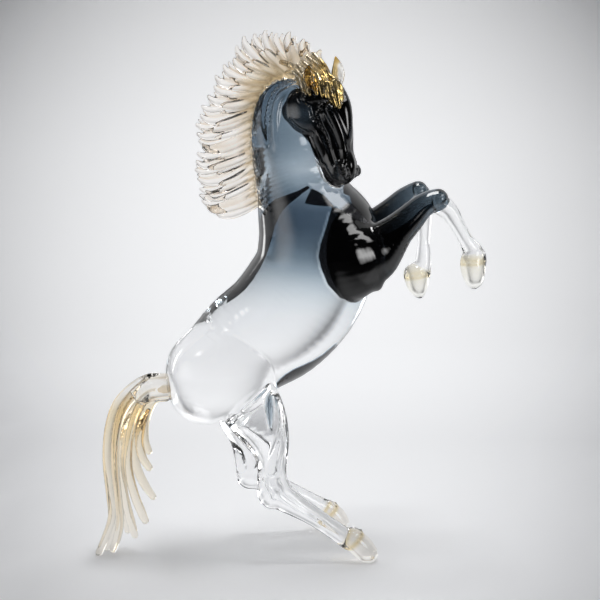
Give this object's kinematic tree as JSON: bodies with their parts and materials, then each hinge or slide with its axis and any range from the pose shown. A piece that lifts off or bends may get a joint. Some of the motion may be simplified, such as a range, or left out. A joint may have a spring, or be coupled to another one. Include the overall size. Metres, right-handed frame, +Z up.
{
  "type": "glass horse sculpture",
  "caption": "Rearing horse in solid hot-worked glass, dark head and shoulders fading to clear hindquarters, combed-out mane, forked tail; stands on its hind hooves and tail tip.",
  "frame": {"origin": "on the floor, under the middle of the outline", "axes": "+Z up, +X the way the horse faces, +Y the horse's left"},
  "size_m": [0.355, 0.1204, 0.4752],
  "materials": {
    "body_glass": "clear at the hindquarters, smoky grey over the barrel and neck, black at the head and shoulders, fire-polished",
    "clear_glass": "clear, fire-polished",
    "hoof_glass": "clear with a faint amber tint at the coronet",
    "amber_hoof_glass": "clear with amber at the coronet",
    "ear_glass": "clear and pale amber",
    "mane_glass": "pale champagne glass, amber at the roots",
    "amber_glass": "gold amber glass",
    "tail_glass": "pale amber glass"
  },
  "bodies": {
    "root": {"body": "body_glass", "lower_foreleg_right": "clear_glass", "lower_foreleg_left": "clear_glass", "hoof_fore_right": "hoof_glass", "hoof_fore_left": "hoof_glass", "hoof_hind_right": "amber_hoof_glass", "hoof_hind_left": "amber_hoof_glass", "ear_right": "ear_glass", "ear_left": "ear_glass", "mane": "mane_glass", "forelock": "amber_glass", "tail": "tail_glass"}
  },
  "joints": []
}
